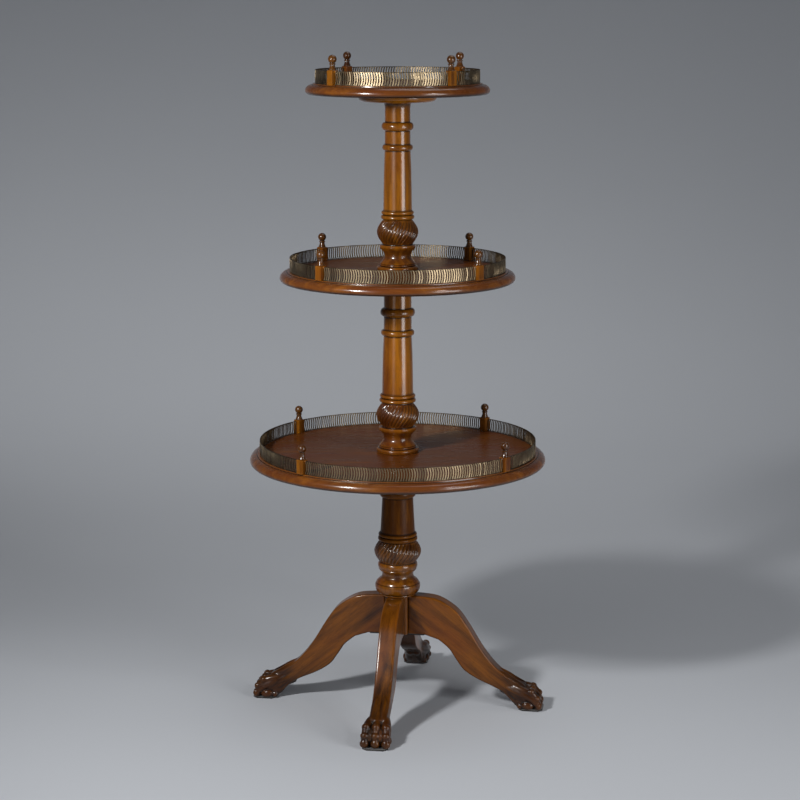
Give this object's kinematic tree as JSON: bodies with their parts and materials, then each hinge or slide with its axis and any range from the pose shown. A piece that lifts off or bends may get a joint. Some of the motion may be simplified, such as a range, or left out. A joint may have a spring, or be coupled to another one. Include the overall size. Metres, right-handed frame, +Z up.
{
  "type": "tiered pedestal side table",
  "caption": "Tiered pedestal table with round revolving trays, pierced brass galleries, a turned gadrooned column and splayed paw-footed legs.",
  "frame": {"origin": "on the floor under the column's axis, which is the centre of the footprint", "axes": "+Z up along the column's axis; -Y is the picture's front; the front leg points 8.6 degrees to the -X side of it"},
  "size_m": [0.6198, 0.6198, 1.3539],
  "materials": {
    "carved_mahogany": "carved mahogany under a worn, polished shellac",
    "turned_mahogany": "turned mahogany under a glossy shellac",
    "tray_mahogany": "solid mahogany board, polished, grain running across the tray",
    "antique_brass": "pierced brass strip, toned brown with brighter worn bars",
    "screw_steel": "plain steel wood screws",
    "black_steel": "cut steel plate, painted black",
    "dark_felt": "pressed felt, nearly black"
  },
  "bodies": {
    "pedestal": {"brace_plate": "black_steel", "column_lower": "turned_mahogany", "column_middle": "turned_mahogany", "column_upper": "turned_mahogany", "foot_pad_back": "dark_felt", "foot_pad_front": "dark_felt", "foot_pad_left": "dark_felt", "foot_pad_right": "dark_felt", "leg_back": "carved_mahogany", "leg_front": "carved_mahogany", "leg_left": "carved_mahogany", "leg_right": "carved_mahogany", "pedestal_block": "turned_mahogany", "plate_screw_back": "screw_steel", "plate_screw_front": "screw_steel", "plate_screw_left": "screw_steel", "plate_screw_right": "screw_steel"},
    "lower_tray_body": {"lower_cleat": "turned_mahogany", "lower_cleat_screw_1": "screw_steel", "lower_cleat_screw_2": "screw_steel", "lower_cleat_screw_3": "screw_steel", "lower_cleat_screw_4": "screw_steel", "lower_gallery_back": "antique_brass", "lower_gallery_front": "antique_brass", "lower_gallery_left": "antique_brass", "lower_gallery_right": "antique_brass", "lower_post_back_left": "turned_mahogany", "lower_post_back_right": "turned_mahogany", "lower_post_front_left": "turned_mahogany", "lower_post_front_right": "turned_mahogany", "lower_tray": "tray_mahogany"},
    "middle_tray_body": {"middle_cleat": "turned_mahogany", "middle_cleat_screw_1": "screw_steel", "middle_cleat_screw_2": "screw_steel", "middle_cleat_screw_3": "screw_steel", "middle_cleat_screw_4": "screw_steel", "middle_gallery_back": "antique_brass", "middle_gallery_front": "antique_brass", "middle_gallery_left": "antique_brass", "middle_gallery_right": "antique_brass", "middle_post_back_left": "turned_mahogany", "middle_post_back_right": "turned_mahogany", "middle_post_front_left": "turned_mahogany", "middle_post_front_right": "turned_mahogany", "middle_tray": "tray_mahogany"},
    "top_tray_body": {"top_cleat": "turned_mahogany", "top_cleat_screw_1": "screw_steel", "top_cleat_screw_2": "screw_steel", "top_cleat_screw_3": "screw_steel", "top_cleat_screw_4": "screw_steel", "top_gallery_back": "antique_brass", "top_gallery_front": "antique_brass", "top_gallery_left": "antique_brass", "top_gallery_right": "antique_brass", "top_post_back_left": "turned_mahogany", "top_post_back_right": "turned_mahogany", "top_post_front_left": "turned_mahogany", "top_post_front_right": "turned_mahogany", "top_tray": "tray_mahogany"}
  },
  "joints": [
    {"name": "lower_tray_turn", "type": "hinge", "parent": "pedestal", "child": "lower_tray_body", "pos_m": [0, 0, 0.541], "axis": [0, 0, 1], "continuous": true},
    {"name": "middle_tray_turn", "type": "hinge", "parent": "pedestal", "child": "middle_tray_body", "pos_m": [0, 0, 0.918], "axis": [0, 0, 1], "continuous": true},
    {"name": "top_tray_turn", "type": "hinge", "parent": "pedestal", "child": "top_tray_body", "pos_m": [0, 0, 1.295], "axis": [0, 0, 1], "continuous": true}
  ]
}
